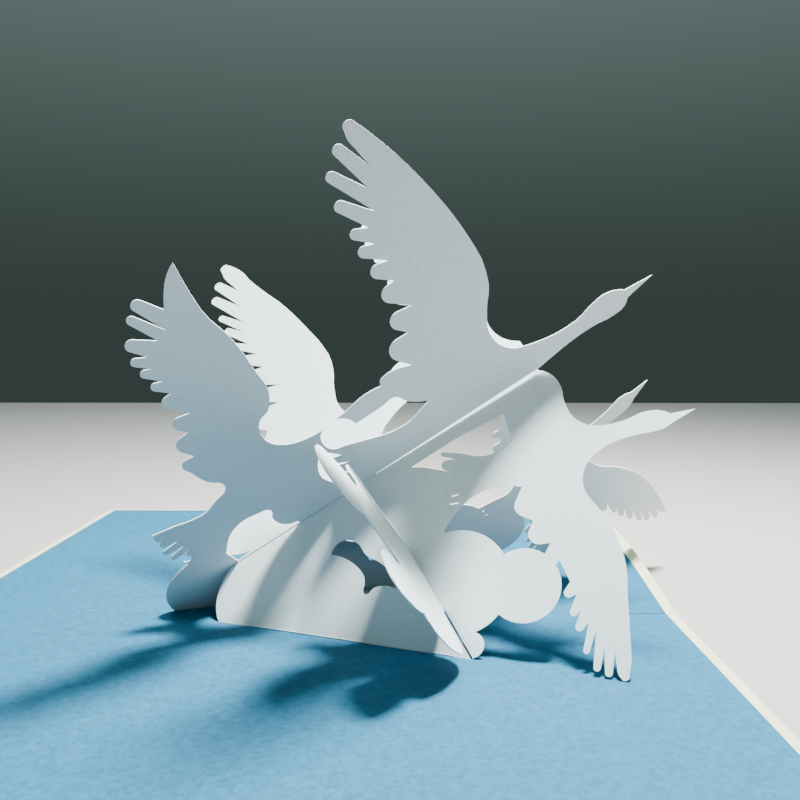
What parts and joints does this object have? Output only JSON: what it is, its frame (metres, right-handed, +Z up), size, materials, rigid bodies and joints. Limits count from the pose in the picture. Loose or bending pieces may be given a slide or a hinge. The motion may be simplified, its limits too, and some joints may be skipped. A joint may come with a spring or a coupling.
{
  "type": "pop up card",
  "caption": "Pop up card lying open, with paper cranes and clouds cut from crossed sheets that rise from the fold.",
  "frame": {"origin": "middle of the card's fold, on the underside of the cover", "axes": "+X along the fold towards the side the cranes fly to, +Y to the back leaf, +Z up"},
  "size_m": [0.2227, 0.296, 0.1252],
  "materials": {
    "cream_card": "matte, smooth",
    "blue_card": "matte, faintly mottled",
    "white_card": "matte, smooth"
  },
  "bodies": {
    "root": {"cover": "cream_card", "liner": "blue_card", "front_sheet": "white_card", "back_sheet": "white_card", "cloud_brace": "white_card"}
  },
  "joints": []
}
